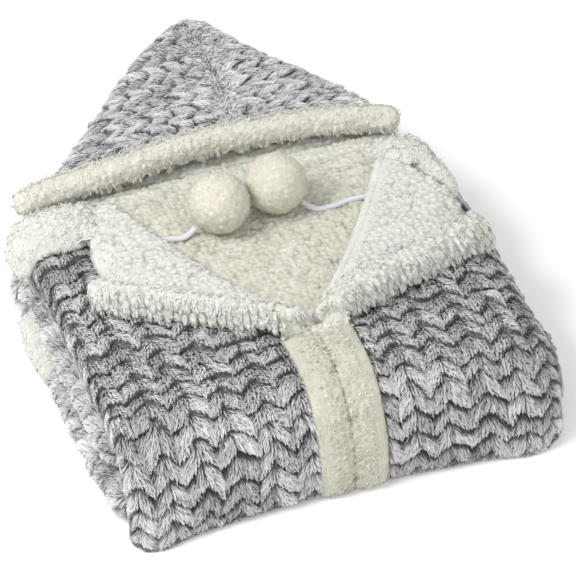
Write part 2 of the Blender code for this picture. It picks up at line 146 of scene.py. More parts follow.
def clusters(points, size, seed):
    """For each 3-D point: distance in sizes to the nearest of scattered centres, its key and its centre."""
    home = np.floor(points / size)
    best = np.full(len(points), 9.0)
    key = np.zeros(len(points))
    centre = np.zeros_like(points)
    for i in (-1, 0, 1):
        for j in (-1, 0, 1):
            for k in (-1, 0, 1):
                cell = home + (i, j, k)
                own = chance(cell[:, 0], cell[:, 1], cell[:, 2], np.full(len(points), seed))
                shift = [chance(own * 91.7, np.full(len(points), axis)) for axis in (1.0, 2.0, 3.0)]
                spot = (cell + 0.15 + 0.7 * np.stack(shift, 1)) * size
                away = np.linalg.norm(spot - points, axis=1) / size
                near = away < best
                best = np.where(near, away, best)
                key = np.where(near, own, key)
                centre = np.where(near[:, None], spot, centre)
    return best, key, centre


# The forms


def front_line(x):
    """y of the front fold's foot."""
    return 8.0 + 13.0 * np.maximum(0.0, 1 - (x / 190.0) ** 2)


def fold_reach(x):
    """How far the front fold's curve reaches back."""
    return 78.0 + 16.0 * step(-60.0, -200.0, x)


def section(x, s):
    """(y, z) of the stack's outer face at distance s up the fold and back."""
    power = 2.0 / (2.35 - 0.5 * step(-60.0, -200.0, x))
    angle = (1 - np.clip(s / FOLD_LENGTH, 0.0, 1.0)) * np.pi / 2
    y = front_line(x) + fold_reach(x) * (1 - np.sin(angle) ** power)
    z = TOP * np.maximum(np.cos(angle), 0.0) ** power
    tuck = 5.0 * (1 - step(-150.0, -190.0, x) - step(140.0, 180.0, x))
    y = y + tuck * (1 - np.minimum(z / 14.0, 1.0)) ** 2 + np.maximum(s - FOLD_LENGTH, 0.0)
    swell = 3.0 * (1 - (x / 235.0) ** 2) + 1.5 * np.sin(x / 61.0 + 1.0) * np.sin(y / 83.0)
    z = z + swell * (1 - step(160.0, 400.0, y)) * (z / TOP) ** 4
    return y, z


FOLD_S = np.linspace(0.0, 520.0, 1041)
FOLD_Q = np.append(0.0, np.cumsum(np.hypot(*np.diff(section(np.zeros(1041), FOLD_S)))))


def stack(p, q, lift):
    """The outer face of the stack: p across, q up the front fold and back; it turns down at the sides."""
    edge = np.clip(p, LEFT_EDGE, RIGHT_EDGE)
    side = np.sign(p - edge)
    roll = np.where(p < LEFT_EDGE, LEFT_ROLL, RIGHT_ROLL)
    turn = np.abs(p - edge) / roll
    s = np.interp(q, FOLD_Q, FOLD_S)
    y, z = section(edge, s)
    y0, z0 = section(edge, np.maximum(s - 0.8, 0.0))
    y1, z1 = section(edge, s + 0.8)
    length = np.hypot(y1 - y0, z1 - z0)
    normal_y, normal_z = -(z1 - z0) / length, (y1 - y0) / length
    in_by = np.where(side == 0, -lift, roll - (roll + lift) * np.cos(turn))
    x = edge + side * (roll + lift) * np.sin(turn)
    return np.stack([x, y - normal_y * in_by, z - normal_z * in_by], 1)


def q_at(x, y):
    """The distance up the fold and back to the place x, y on top."""
    edge = np.clip(x, LEFT_EDGE, RIGHT_EDGE)
    return np.interp(y - front_line(edge) - fold_reach(edge) + FOLD_LENGTH, FOLD_S, FOLD_Q)


RIM_CURVE = along(RIM_LINE, np.linspace(0, 1, 61))


def hood_width(side, v):
    """Width of one half of the hood at share v of its length."""
    return np.abs(along(HOOD_RIGHT if side > 0 else HOOD_LEFT, v)[:, 0] - along(HOOD_SEAM, v)[:, 0])


def hood_half(side):
    """The form of one half of the hood: p runs out from the seam, q from the rim to the point."""

    def form(p, q, lift):
        v = np.clip(q / HOOD_LENGTH, 0.0, 1.0)
        past = np.maximum(q - HOOD_LENGTH, 0.0)
        edge = along(HOOD_RIGHT if side > 0 else HOOD_LEFT, v)
        seam = along(HOOD_SEAM, v)
        share = p / np.maximum(np.abs(edge[:, 0] - seam[:, 0]), 1.0)
        over = np.maximum(share - 1.0, 0.0)
        share = np.minimum(share, 1.0) * (1 - 0.45 * np.minimum(past / HOOD_PAST, 1.0) ** 1.5)
        x = seam[:, 0] + share * (edge[:, 0] - seam[:, 0])
        y = seam[:, 1] + share * (edge[:, 1] - seam[:, 1])
        behind_rim = np.interp(x, RIM_CURVE[:, 0], RIM_CURVE[:, 1]) + RIM_RADIUS + RIM_SEAM
        straight = HOOD_SEAM[0][1] + share * (edge[:, 1] - HOOD_SEAM[0][1])
        y = y + (behind_rim - straight) * np.maximum(0.0, 1 - v / 0.12) + 6.0 * (1 - np.exp(-past / 6.0))
        round_off = step(0.86, 1.0, share) ** 2
        z = along(HOOD_HEIGHT, v)[:, 0] - HOOD_DROOP * share**4 - 4.0 * round_off - 40.0 * over - past
        out = side * lift * 0.8 * round_off
        return np.stack([x + out, y, z + lift * (1 - 0.3 * round_off)], 1)

    return form


# Meshes


def to_frame(points):
    return (points + SHIFT) * MM


def mesh_of(name, points, triangles, shade=None, normals=None):
    """A mesh from arrays, points in millimetres of the stack's frame, with its shade at each point."""
    mesh = bpy.data.meshes.new(name)
    mesh.vertices.add(len(points))
    mesh.vertices.foreach_set("co", to_frame(points).astype(np.float32).ravel())
    mesh.loops.add(len(triangles) * 3)
    mesh.loops.foreach_set("vertex_index", triangles.astype(np.int32).ravel())
    mesh.polygons.add(len(triangles))
    mesh.polygons.foreach_set("loop_start", np.arange(0, len(triangles) * 3, 3, dtype=np.int32))
    mesh.polygons.foreach_set("use_smooth", np.ones(len(triangles), bool))
    mesh.update(calc_edges=True)
    if shade is not None:
        layer = mesh.attributes.new("shade", "FLOAT", "POINT")
        layer.data.foreach_set("value", np.asarray(shade, np.float32))
    if normals is not None:
        mesh.normals_split_custom_set_from_vertices(normals.astype(np.float32))
    return mesh


def add_piece(name, mesh, material):
    """An object for the mesh that rides the part's one body."""
    piece = bpy.data.objects.new(name, mesh)
    mesh.materials.append(material)
    bpy.context.scene.collection.objects.link(piece)
    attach(piece, "root")
    return piece


def blades(name, points, normal, width, shade, material, soft=0.5, spin=1.4):
    """Pile as one mesh: a blade of two triangles for each root, middle and tip in points.

    normal is the way the cloth or curl faces, once or at each of the three; soft is its share in the
    shading, next to the blade's own face, and spin how far blades turn on their length, in radians."""
    root, middle, tip = points
    faces = normal if isinstance(normal, tuple) else (normal, normal, normal)
    count = len(root)
    lean = unit(np.cross(tip - root, faces[1]))
    turned = (chance(np.arange(count), np.full(count, 5.0)) - 0.5)[:, None] * spin
    side = unit(lean * np.cos(turned) + faces[1] * np.sin(turned))
    low, high = unit(np.cross(side, middle - root)), unit(np.cross(side, tip - middle))
    ways = [unit(face * soft + own * (1 - soft)) for face, own in zip(faces, (low, unit(low + high), high))]
    half = side * (width / 2)[:, None]
    corners = np.stack([root, middle - half, middle + half, tip], 1)
    corners[:, :, 2] = np.maximum(corners[:, :, 2], 0.0)
    offset = np.arange(count)[:, None, None] * 4
    triangles = (np.array(((0, 2, 1), (1, 2, 3)))[None] + offset).reshape(-1, 3)
    shades = np.stack([shade[0], shade[1], shade[1], shade[2]], 1).ravel()
    normals = np.stack([ways[0], ways[1], ways[1], ways[2]], 1).reshape(-1, 3)
    mesh = mesh_of(name, corners.reshape(-1, 3), triangles, shades, normals)
    return add_piece(name, mesh, material)


def grid_triangles(columns, rows):
    i, j = (a.ravel() for a in np.meshgrid(np.arange(columns - 1), np.arange(rows - 1), indexing="ij"))
    a = i * rows + j
    b, c, d = a + rows, a + rows + 1, a + 1
    return np.concatenate([np.stack([a, b, c], 1), np.stack([a, c, d], 1)])


# Materials

# The share of light that passes through a fibre
THROUGH = 0.28


def pile_material(name, stops, roughness=0.85, sheen=0.25, tint=0.05, scale=60.0):
    """Cloth pile: colour from root to tip by shade, which holds painted shade and painted light, with soft
    uneven patches and fine fibre bump.
    """
    made = bpy.data.materials.new(name)
    made.use_nodes = True
    nodes, links = made.node_tree.nodes, made.node_tree.links
    shader = nodes["Principled BSDF"]
    shader.inputs["Roughness"].default_value = roughness
    shader.inputs["Specular IOR Level"].default_value = 0.15
    shader.inputs["Sheen Weight"].default_value = sheen
    shader.inputs["Sheen Roughness"].default_value = 0.6
    shade = nodes.new("ShaderNodeAttribute")
    shade.attribute_name = "shade"
    ramp = nodes.new("ShaderNodeValToRGB")
    elements = ramp.color_ramp.elements
    while len(elements) < len(stops):
        elements.new(0.5)
    for element, (place, colour) in zip(elements, stops):
        element.position = place
        element.color = (*colour, 1.0)
    links.new(shade.outputs["Fac"], ramp.inputs["Fac"])
    place = nodes.new("ShaderNodeTexCoord")
    patches = nodes.new("ShaderNodeTexNoise")
    patches.inputs["Scale"].default_value = scale
    patches.inputs["Detail"].default_value = 3.0
    links.new(place.outputs["Object"], patches.inputs["Vector"])
    spread = nodes.new("ShaderNodeMapRange")
    spread.inputs["To Min"].default_value = 1.0 - tint
    spread.inputs["To Max"].default_value = 1.0 + tint
    links.new(patches.outputs["Fac"], spread.inputs["Value"])
    tinted = nodes.new("ShaderNodeMix")
    tinted.data_type = "RGBA"
    tinted.blend_type = "MULTIPLY"
    tinted.inputs["Factor"].default_value = 1.0
    links.new(ramp.outputs["Color"], tinted.inputs["A"])
    links.new(spread.outputs["Result"], tinted.inputs["B"])
    links.new(tinted.outputs["Result"], shader.inputs["Base Color"])
    fibres = nodes.new("ShaderNodeTexNoise")
    fibres.inputs["Scale"].default_value = 900.0
    fibres.inputs["Detail"].default_value = 2.0
    links.new(place.outputs["Object"], fibres.inputs["Vector"])
    bump = nodes.new("ShaderNodeBump")
    bump.inputs["Strength"].default_value = 0.25
    bump.inputs["Distance"].default_value = 0.0006
    links.new(fibres.outputs["Fac"], bump.inputs["Height"])
    links.new(bump.outputs["Normal"], shader.inputs["Normal"])
    through = nodes.new("ShaderNodeBsdfTranslucent")
    links.new(tinted.outputs["Result"], through.inputs["Color"])
    both = nodes.new("ShaderNodeMixShader")
    both.inputs["Fac"].default_value = THROUGH
    links.new(shader.outputs["BSDF"], both.inputs[1])
    links.new(through.outputs["BSDF"], both.inputs[2])
    links.new(both.outputs["Shader"], nodes["Material Output"].inputs["Surface"])
    return made


def grey_stops(light):
    """Dark roots, then grey, then pale tips. The dark end serves painted shade deep in the pile, and light
    above 1 makes a lighter copy that paints light.
    """
    return (
        (0.0, (0.045, 0.045, 0.046)),
        (0.22, (0.20 * light, 0.20 * light, 0.202 * light)),
        (0.52, (0.60 * light, 0.60 * light, 0.60 * light)),
        (1.0, (0.92 * light, 0.92 * light, 0.925 * light)),
    )


# The low ends of these ramps serve painted shade, in the cracks and deep in the pile.
IVORY_STOPS = (
    (0.0, (0.38, 0.36, 0.27)),
    (0.35, (0.62, 0.605, 0.53)),
    (0.7, (0.765, 0.76, 0.71)),
    (1.0, (0.86, 0.86, 0.835)),
)
WARM_STOPS = (
    (0.0, (0.36, 0.34, 0.235)),
    (0.35, (0.60, 0.585, 0.485)),
    (0.7, (0.745, 0.735, 0.65)),
    (1.0, (0.85, 0.845, 0.785)),
)
YARN_STOPS = (
    (0.0, (0.60, 0.55, 0.42)),
    (0.5, (0.73, 0.70, 0.60)),
    (1.0, (0.84, 0.815, 0.73)),
)

grey = pile_material("plush_grey", grey_stops(1.0))
# A lighter copy of the grey: painted light on the hood and the left side, where the key light falls most.
grey_painted_light = pile_material("plush_grey_painted_light", grey_stops(1.06))
ivory = pile_material("sherpa_ivory", IVORY_STOPS, tint=0.04, scale=35.0)
ivory_warm = pile_material("sherpa_ivory_warm", WARM_STOPS, tint=0.05, scale=35.0)
yarn = pile_material("yarn_cream", YARN_STOPS, tint=0.03)
cord_white = pile_material("cord_white", ((0.0, (0.78, 0.76, 0.82)), (1.0, (0.80, 0.78, 0.84))), 0.6, 0.1)


# Camera, floor and light come first, and the cords

TARGET = np.array((24.0, 261.0, 60.0))
CAMERA_AZIMUTH, CAMERA_ELEVATION, CAMERA_DISTANCE = -20.0, 41.0, 4.0
CAMERA_LENS, CAMERA_SENSOR, CAMERA_REACH = 250.0, 36.0, 50.0
LIGHTS_AIM = Vector((0.02, -0.05, 0.05))
LIGHTS = (("key", (-1.5, -0.25, 1.9), 1.0, 47.0), ("fill", (0.6, -2.0, 1.3), 1.6, 13.0))
SKY_LIGHT = 0.78
FLOOR_REACH, FLOOR_DROP, FLOOR_PALE = 6.0, 0.0005, (0.96, 0.96, 0.96, 1.0)


def camera():
    """The camera at the photograph's angle."""
    data = bpy.data.cameras.new("camera")
    data.lens = CAMERA_LENS
    data.sensor_width = CAMERA_SENSOR
    data.clip_end = CAMERA_REACH
    made = bpy.data.objects.new("camera", data)
    target = Vector(to_frame(TARGET))
    around, up = math.radians(CAMERA_AZIMUTH), math.radians(CAMERA_ELEVATION)
    way = Vector((math.sin(around) * math.cos(up), -math.cos(around) * math.cos(up), math.sin(up)))
    made.location = target + way * CAMERA_DISTANCE
    made.rotation_euler = (-way).to_track_quat("-Z", "Y").to_euler()
    bpy.context.scene.collection.objects.link(made)
    bpy.context.scene.camera = made


def area_light(name, place, size, power):
    data = bpy.data.lights.new(name, "AREA")
    data.size = size
    data.energy = power
    made = bpy.data.objects.new(name, data)
    made.location = place
    made.rotation_euler = (LIGHTS_AIM - Vector(place)).to_track_quat("-Z", "Y").to_euler()
    bpy.context.scene.collection.objects.link(made)


def surroundings():
    """The pale floor, the white sky and the lights, with plain colours."""
    mesh = bpy.data.meshes.new("floor")
    corners = [(x * FLOOR_REACH, y * FLOOR_REACH, 0) for x, y in ((-1, -1), (1, -1), (1, 1), (-1, 1))]
    mesh.from_pydata(corners, [], [(0, 1, 2, 3)])
    floor = bpy.data.objects.new("floor", mesh)
    bpy.context.scene.collection.objects.link(floor)
    pale = bpy.data.materials.new("floor_pale")
    pale.use_nodes = True
    shader = pale.node_tree.nodes["Principled BSDF"]
    shader.inputs["Base Color"].default_value = FLOOR_PALE
    shader.inputs["Roughness"].default_value = 0.9
    shader.inputs["Specular IOR Level"].default_value = 0.0
    mesh.materials.append(pale)
    floor.location.z = -FLOOR_DROP
    world = bpy.data.worlds.new("studio")
    world.use_nodes = True
    sky = world.node_tree.nodes["Background"]
    sky.inputs["Color"].default_value = (1.0, 1.0, 1.0, 1.0)
    sky.inputs["Strength"].default_value = SKY_LIGHT
    bpy.context.scene.world = world
    for light in LIGHTS:
        area_light(*light)
    bpy.context.scene.view_settings.view_transform = "Standard"


def cord(name, route, node, pompom):
    """The drawcord's free end, from under the lapel to its pompom."""
    line = along(route, np.linspace(0, 1, 25))
    data = bpy.data.curves.new(name, "CURVE")
    data.dimensions = "3D"
    data.bevel_depth = CORD_DIAMETER / 2 * MM
    data.bevel_resolution = 4
    data.use_fill_caps = True
    spline = data.splines.new("POLY")
    spline.points.add(len(line) - 1)
    for point, place in zip(spline.points, to_frame(line)):
        point.co = (*place, 1.0)
    data.materials.append(cord_white)
    made = bpy.data.objects.new(name, data)
    bpy.context.scene.collection.objects.link(made)
    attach(made, "root")
    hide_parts(node)
    tuple(to_frame(line[0]))


# Pompoms

YARN_LUMP, YARN_CURL = 7.0, 2.6
YARN_ENDS, YARN_WIDTH = 4200, 0.5
CORE_SHARE, CORE_LUMP = 0.905, 0.10


def yarn_height(way, seed):
    """Height share of the soft lumps of cut yarn, over the directions from a pompom's middle."""
    away, key, _ = clusters(way * POMPOM_RADIUS, YARN_LUMP, seed)
    fine_away, fine_key, _ = clusters(way * POMPOM_RADIUS, YARN_CURL, seed + 1)
    return 0.6 * (1 - away) * (0.6 + 0.8 * key) + 0.4 * (1 - fine_away) * (0.5 + fine_key)


def pompom(name, node, seed):
    """A ball of cut yarn: a lumpy core, and fine ends of yarn standing all round it."""
    low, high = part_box(node)
    centre = np.array((low + high) / 2) / MM - SHIFT
    bm = bmesh.new()
    bmesh.ops.create_icosphere(bm, subdivisions=6, radius=1.0)
    way = unit(np.array([vertex.co[:] for vertex in bm.verts]))
    triangles = np.array([[vertex.index for vertex in face.verts] for face in bm.faces])
    bm.free()
    height = yarn_height(way, seed)
    points = centre + way * (POMPOM_RADIUS * (CORE_SHARE + CORE_LUMP * height))[:, None]
    # The core's shade is painted shade: darker between the lumps of yarn.
    core = add_piece(name, mesh_of(name, points, triangles, 0.30 + 0.65 * height), yarn)
    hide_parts(node)

    count = YARN_ENDS
    k = np.arange(count) + 0.5
    z = 1 - 2 * k / count
    turn = k * math.pi * (1 + math.sqrt(5))
    way = np.stack([np.cos(turn) * np.sqrt(1 - z * z), np.sin(turn) * np.sqrt(1 - z * z), z], 1)
    jitter = np.stack([chance(k, np.full(count, seed + a)) - 0.5 for a in (1.0, 2.0, 3.0)], 1)
    aside = unit(jitter - way * (jitter * way).sum(1)[:, None])
    height = yarn_height(way, seed)
    reach = POMPOM_RADIUS * (0.955 + 0.05 * height + 0.05 * chance(k, np.full(count, 9.0)))
    root = centre + way * POMPOM_RADIUS * 0.90
    middle = centre + unit(way + 0.03 * aside) * (reach * 0.98)[:, None]
    tip = centre + unit(way + 0.08 * aside) * reach[:, None]
    # Painted shade: the yarn ends are darker at their roots and between the lumps.
    shade = (0.4 + 0.3 * height, 0.5 + 0.4 * height, 0.6 + 0.4 * height)
    width = np.full(count, YARN_WIDTH)
    ends = blades(name + "_ends", (root, middle, tip), way, width, shade, yarn, 0.97, 0.3)
    return [core, ends]


# Grey plush in chevron ribs

PILE = 10.5
# Shares of a strand's length at its root, middle and tip
STRAND = (0.0, 0.55, 1.0)
# How far a strand curls, and how wide a tuft of strands is
STRAND_CURL, LOCK_WIDTH = 2.4, 4.4
SHELL_SPACING = 3.3
# The shell's depth under the pile's outer face where the pile is low, and how much higher its ribs stand
SHELL_DEPTH, SHELL_RIB = FUR - 0.5, 6.0
ENVELOPE_F = (-0.18, -0.08, 0.04, 0.3, 0.55, 0.74, 0.88, 1.0)
ENVELOPE_H = (0.60, 0.86, 1.0, 0.96, 0.84, 0.60, 0.28, 0.14)
SHELL_F = (0.0, 0.08, 0.3, 0.62, 0.78, 1.0)
SHELL_H = (0.35, 0.65, 0.7, 0.42, 0.16, 0.10)


def ribs(p, q, wide, pitch, rise, seed):
    """Where a place is in the ribs: row, share f back from the row's edge, m across the arm, side, key.

    wide is the width of a V, pitch the distance of its rows and rise the height of its arms. Slow and
    quick waves shift the columns, the rows and the rise a little, so no two V's are alike."""
    p = p + 4.0 * wave(p, q, 64.0, seed) + 2.2 * wave(p, q, 20.0, seed + 1)
    column = p / wide
    x = column - np.floor(column) - 0.5
    m = np.abs(x) * 2
    uneven = 0.20 * wave(p, q, 55.0, seed + 2) + 0.20 * wave(p, q, 19.0, seed + 5)
    rise = rise * (1 + 0.3 * wave(p, q, 120.0, seed + 7))
    phase = (q - rise * np.sqrt(m * m + 0.012)) / pitch + uneven
    row = np.floor(phase)
    side = np.where(x < 0, -1.0, 1.0)
    return row, phase - row, m, side, chance(row, np.floor(column), side, np.full(len(p), float(seed)))


def envelope(f, m, key):
    """Share of the pile's height at f and m of an arm."""
    across = 0.82 + 0.18 * np.sqrt(np.clip(1 - (2 * m - 1) ** 2, 0, 1))
    return np.interp(f, ENVELOPE_F, ENVELOPE_H) * across * (0.74 + 0.34 * key)


def comb_fur(f, m, key, own, wide, pitch, wild, free):
    """Each strand's tip as a share f, how far it runs back and across to the V's point, its tuft's key.

    own holds seven shares of chance for each strand. Strands turn about 25 degrees to the V's point, as
    far as wild and free let them, and are drawn together in small tufts. free is 1 where the pile stands
    every way."""
    turn = math.radians(25) * (1 - 0.6 * m**4) + (key - 0.5) * 0.5 + (own[0] - 0.5) * (wild + 5.0 * free)
    length = pitch * (0.28 + 0.26 * own[1]) * (0.9 + 0.3 * key)
    tip_f = np.maximum(f - length * np.cos(turn) / pitch, -0.02 - 0.10 * own[2] ** 2 - 0.3 * free)
    back = (f - tip_f) * pitch
    cross = np.clip(back * np.tan(np.clip(turn, -1.2, 1.2)), -6.0, m * wide / 2 * 0.92)
    spot = (m * wide / 2 - cross) / LOCK_WIDTH + 3.7 * key
    cross = cross + (spot - np.floor(spot) - 0.5) * LOCK_WIDTH * 0.6
    tuft_key = chance(key * 97.0, np.floor(spot))
    return tip_f, back, cross, tuft_key


def fur_heights(f, tip_f, m, cross, wide, key, own, tuft_key, free):
    """Heights off the backing and pile shares at the root, middle and tip of each strand."""
    lifts, tops = [], []
    for share, over in zip(STRAND, (0.35, 0.90, 1.0)):
        top = envelope(f + (tip_f - f) * share, np.clip(m - cross * share / (wide / 2), 0, 1), key)
        top = top + (0.86 - top) * free
        tops.append(top)
        lifts.append(PILE * top * over + share * (2.6 * (own[3] - 0.42) + 1.8 * (tuft_key - 0.5)))
    return lifts, tops


def fur_shades(tops, own, tuft_key, patch_and_shade):
    """Shades at the root, middle and tip: painted shade, dark low in the pile and in the valleys between
    rows, light high in it; uneven by strand, tuft and patch, which can carry painted shade too.
    """
    near = 0.24 * (own[4] - 0.5) - 0.30 * (own[4] < 0.14) + 0.16 * (tuft_key - 0.5) + patch_and_shade
    return (
        0.10 + 0.25 * tops[0] ** 2,
        np.clip(0.05 + 0.66 * tops[1] ** 1.4 + near, 0.02, 1),
        np.clip(0.10 + 0.86 * tops[2] ** 1.3 + near, 0.05, 1),
    )


def part_of(points, values, triangles, keep):
    """The kept triangles of a net, with only their own points and the values at these."""
    used, triangles = np.unique(triangles[keep], return_inverse=True)
    return points[used], values[used], triangles.reshape(-1, 3)


def plush(name, node, form, inside, p_range, q_range, density, pointing, ribbing, seed, material,
          wild, free_at, hung_shade_at=even(0.0)):
    """Shell and fur of one grey piece. inside(p, q) tells which places belong to it. pointing is the way
    in (p, q) that the tips of the V's point, and ribbing their width, pitch and rise. free_at(p, q) is 1
    where the ribs are lost, and hung_shade_at(p, q) where the rows hang over one another: there painted shade
    darkens more of each row, standing in for the shadow under the row above."""
    ex, ey = pointing
    wide, pitch, rise = ribbing
    (p_low, p_high), (q_low, q_high) = p_range, q_range

    def pattern(p, q):
        return ribs(-p * ey + q * ex, -(p * ex + q * ey), wide, pitch, rise, seed)

    ps = np.linspace(p_low, p_high, round((p_high - p_low) / SHELL_SPACING) + 1)
    qs = np.linspace(q_low, q_high, round((q_high - q_low) / SHELL_SPACING) + 1)
    p, q = (a.ravel() for a in np.meshgrid(ps, qs, indexing="ij"))
    _, f, m, _, _ = pattern(p, q)
    height = np.interp(f, SHELL_F, SHELL_H) * (0.8 + 0.2 * (1 - (2 * m - 1) ** 2))
    height = height + (0.55 - height) * free_at(p, q)
    points = form(p, q, -SHELL_DEPTH + SHELL_RIB * height)
    points[:, 2] = np.maximum(points[:, 2], 0.0)
    triangles = grid_triangles(len(ps), len(qs))
    keep = inside(p, q)[triangles].all(1)
    # The shell's shade is painted shade, darker in the valleys between the rows.
    points, shade, triangles = part_of(points, 0.02 + 0.4 * height, triangles, keep)
    shell = add_piece(name, mesh_of(name, points, triangles, shade), material)
    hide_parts(node)

    count_p = int((p_high - p_low) * math.sqrt(density))
    count_q = int((q_high - q_low) * math.sqrt(density))
    i, j = (a.ravel() for a in np.meshgrid(np.arange(count_p), np.arange(count_q), indexing="ij"))
    p = p_low + (i + chance(i, j, np.full(len(i), seed + 0.1))) * (p_high - p_low) / count_p
    q = q_low + (j + chance(i, j, np.full(len(i), seed + 0.2))) * (q_high - q_low) / count_q
    keep = inside(p, q)
    p, q = p[keep], q[keep]
    count = len(p)
    k = np.arange(count)
    own = [chance(k, np.full(count, seed + 0.3 + 0.1 * n)) for n in range(7)]
    _, f, m, side, key = pattern(p, q)
    free = free_at(p, q)
    tip_f, back, cross, tuft_key = comb_fur(f, m, key, own, wide, pitch, wild, free)
    lifts, tops = fur_heights(f, tip_f, m, cross, wide, key, own, tuft_key, free)
    dp, dq = -side * cross, -back
    points = []
    for share, lift in zip(STRAND, lifts):
        curl = STRAND_CURL * share * share
        along_p = (dp * -ey + dq * -ex) * share + curl * (own[5] - 0.5)
        along_q = (dp * ex + dq * -ey) * share + curl * (own[6] - 0.5)
        points.append(form(p + along_p, q + along_q, lift - FUR))
    normal = unit(form(p, q, np.zeros(count)) - form(p, q, np.full(count, -4.0)))
    # Soft uneven patches, and painted shade on the upright front where strands lie just under the row above.
    patch_and_shade = 0.06 * wave(p, q, 80.0, seed + 9) - 0.42 * hung_shade_at(p, q) * step(0.34, 0.60, tip_f)
    shade = fur_shades(tops, own, tuft_key, patch_and_shade)
    fur = blades(name + "_fur", points, normal, 0.7 + 0.5 * own[2], shade, material)


# Sherpa and other pieces worked from their solid


def remeshed(node, voxel, rounds):
    """Points, normals and triangles of a CAD solid remade with an even fine net, in the stack's frame."""
    copy = bpy.data.objects.new("work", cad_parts[node].data.copy())
    bpy.context.scene.collection.objects.link(copy)
    bm = bmesh.new()
    bm.from_mesh(copy.data)
    bmesh.ops.remove_doubles(bm, verts=bm.verts, dist=1e-6)
    bm.to_mesh(copy.data)
    bm.free()
    remesh = copy.modifiers.new("even", "REMESH")
    remesh.mode = "VOXEL"
    remesh.voxel_size = voxel * MM
    smooth = copy.modifiers.new("soft", "SMOOTH")
    smooth.factor = 0.5
    smooth.iterations = rounds
    bpy.context.view_layer.update()
    done = copy.evaluated_get(bpy.context.evaluated_depsgraph_get())
    mesh = done.to_mesh()
    mesh.calc_loop_triangles()
    points = np.zeros(len(mesh.vertices) * 3)
    mesh.vertices.foreach_get("co", points)
    normals = np.zeros(len(mesh.vertices) * 3)
    mesh.vertices.foreach_get("normal", normals)
    triangles = np.zeros(len(mesh.loop_triangles) * 3, int)
    mesh.loop_triangles.foreach_get("vertices", triangles)
    done.to_mesh_clear()
    bpy.data.objects.remove(copy)
    return points.reshape(-1, 3) / MM - SHIFT, normals.reshape(-1, 3), triangles.reshape(-1, 3)


def nearest_on(points, triangles, wanted):
    """The surface's nearest point to each wanted place, and the surface's direction there."""
    tree = BVHTree.FromPolygons(points.tolist(), triangles.tolist())
    found = [tree.find_nearest(place) for place in wanted.tolist()]
    return np.array([hit[0] for hit in found]), np.array([hit[1] for hit in found])


def scattered(points, normals, triangles, density, seed):
    """Random places spread evenly over a surface, with the surface's direction there."""
    a, b, c = (points[triangles[:, k]] for k in range(3))
    area = np.linalg.norm(np.cross(b - a, c - a), axis=1) / 2
    random = np.random.default_rng(seed)
    count = int(area.sum() * density)
    face = random.choice(len(area), count, p=area / area.sum())
    u, v = random.random(count), random.random(count)
    over = u + v > 1
    u, v = np.where(over, 1 - u, u), np.where(over, 1 - v, v)
    w = 1 - u - v

    def mix(values):
        at = values[triangles[face]]
        return at[:, 0] * w[:, None] + at[:, 1] * u[:, None] + at[:, 2] * v[:, None]

    return mix(points), unit(mix(normals)), random


# Width, pitch and rise of the ribs of these pieces, and how far their strands turn aside
ROUND_RIBS, ROUND_WILD = (35.0, 24.5, 18.0), 0.7


def plush_round(name, node, seed, density, comb, axis, flat, material, seen, cut=None, voxel=3.0):
    """Shell and fur of a grey piece worked from its solid. comb is the way in space that the tips point,
    and axis the way across the ribs. seen(points, normals) tells where fur is needed, and cut which
    part of the solid shows beside its underside, which is a piece of its own."""
    points, normals, triangles = remeshed(node, voxel, 4)
    comb, axis = np.array(comb, float), np.array(axis, float)
    wide, pitch, rise = ROUND_RIBS

    def pattern(at):
        return ribs(at @ axis, -(at @ comb), wide, pitch, rise, seed)

    def shell_of(label, points, normals, triangles):
        _, f, _, _, _ = pattern(points)
        height = np.interp(f, SHELL_F, SHELL_H) + 0.1
        resting = step(0.0, 4.0, points[:, 2])
        outer = points - normals * ((2.0 + 5.0 * (1 - height)) * resting)[:, None]
        outer[:, 2] = np.maximum(outer[:, 2], 0.0)
        # The shell's shade is painted shade, darker in the valleys between the rows.
        mesh = mesh_of(label, outer, triangles, 0.02 + 0.35 * height)
        return add_piece(label, mesh, material)

    under = []
    if cut:
        shown = cut(points, normals)[triangles].any(1)
        below = (normals[triangles][:, :, 2] < -0.7).all(1) & ~shown
        under = [shell_of(name + "_under", *part_of(points, normals, triangles, below))]
        points, normals, triangles = part_of(points, normals, triangles, shown)
    shell = shell_of(name, points, normals, triangles)
    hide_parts(node)

    root, normal, random = scattered(points, normals, triangles, density, int(seed))
    keep = (root[:, 2] > 3.0) & (normal[:, 2] > -0.5) & seen(root, normal)
    root, normal = root[keep], normal[keep]
    count = len(root)
    _, f, m, side, key = pattern(root)
    own = random.random((7, count))
    free = step(16.0, 6.0, root[:, 2])
    tip_f, back, cross, tuft_key = comb_fur(f, m, key, own, wide, pitch, ROUND_WILD, free)
    lifts, tops = fur_heights(f, tip_f, m, cross, wide, key, own, tuft_key, free)
    down = unit(comb - normal * (normal @ comb)[:, None])
    across = unit(np.cross(normal, down))
    across = across * np.sign(across @ axis)[:, None]
    spots = []
    for share, lift in zip(STRAND, lifts):
        curl = STRAND_CURL * share * share
        at = root + down * (back * share + curl * (own[5] - 0.5))[:, None]
        at = at - across * (side * cross * share + curl * (own[6] - 0.5))[:, None]
        ground, facing = (root, normal) if share == 0 else nearest_on(points, triangles, at)
        spots.append(ground + facing * (lift - FUR)[:, None])
    shade = fur_shades(tops, own, tuft_key, 0.06 * wave(root @ axis, root @ comb, 80.0, seed + 9.0))
    fur = blades(name + "_fur", spots, normal, 0.8 + 0.6 * own[2], shade, material)


# The key of the curls' pattern, a curl's reach in curl sizes, and how deep its foot lies
CURL_SEED, CURL_REACH, CURL_FOOT = 3.0, 0.74, 1.4
# The length of pile that is brushed flat
LAID_LENGTH = 4.0


def dome(away):
    """Height share of a round curl at a distance from its heart, in curl sizes."""
    return np.sqrt(np.clip(1 - (away / CURL_REACH) ** 2, 0, 1))


